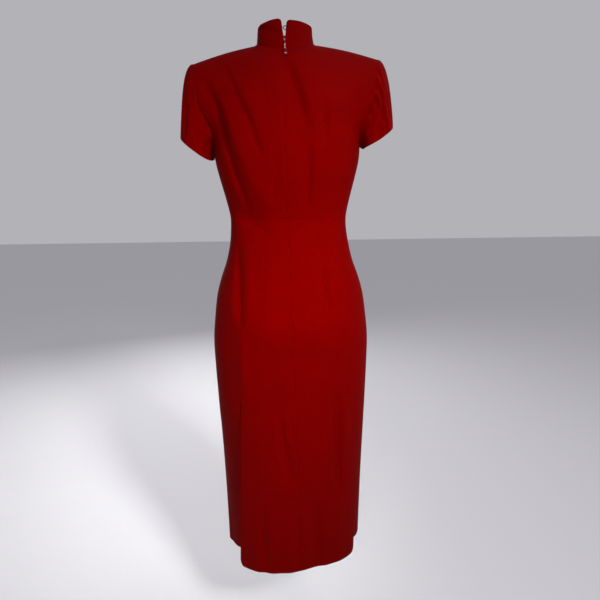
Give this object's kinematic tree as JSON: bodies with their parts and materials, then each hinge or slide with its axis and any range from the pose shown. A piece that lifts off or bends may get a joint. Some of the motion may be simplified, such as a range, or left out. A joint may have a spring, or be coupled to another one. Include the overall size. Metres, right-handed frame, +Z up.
{
  "type": "cheongsam dress",
  "caption": "Fitted midi cheongsam with a stand collar open at the back, short set-in sleeves, a centre-back zip, a waist seam and side slits.",
  "frame": {"origin": "base of the neck between the shoulder seams, where the wearer's shoulders hold the dress up", "axes": "+Z up along the dress, +Y to the wearer's back, +X to the wearer's left"},
  "size_m": [0.483, 0.2677, 1.3033],
  "materials": {
    "red_crepe": "matte crepe",
    "zip_tape": "woven tape",
    "lacquered_metal": "red lacquer",
    "hook_metal": "darkened wire"
  },
  "bodies": {
    "dress": {"bodice_back_left": "red_crepe", "bodice_back_right": "red_crepe", "bodice_front": "red_crepe", "collar": "red_crepe", "skirt_back_left": "red_crepe", "skirt_back_right": "red_crepe", "skirt_front": "red_crepe", "sleeve_left": "red_crepe", "sleeve_right": "red_crepe", "zip_tape_left_bodice": "zip_tape", "zip_tape_left_skirt": "zip_tape", "zip_tape_right_bodice": "zip_tape", "zip_tape_right_skirt": "zip_tape", "zip_slider": "lacquered_metal", "collar_hook": "hook_metal", "collar_eye": "hook_metal"},
    "pull_tab": {"zip_pull": "lacquered_metal"}
  },
  "joints": [
    {"name": "pull_tab_swing", "type": "hinge", "parent": "dress", "child": "pull_tab", "pos_m": [0, 0.05025, 0.001], "axis": [1, 0, 0], "range_deg": [0, 150]}
  ]
}
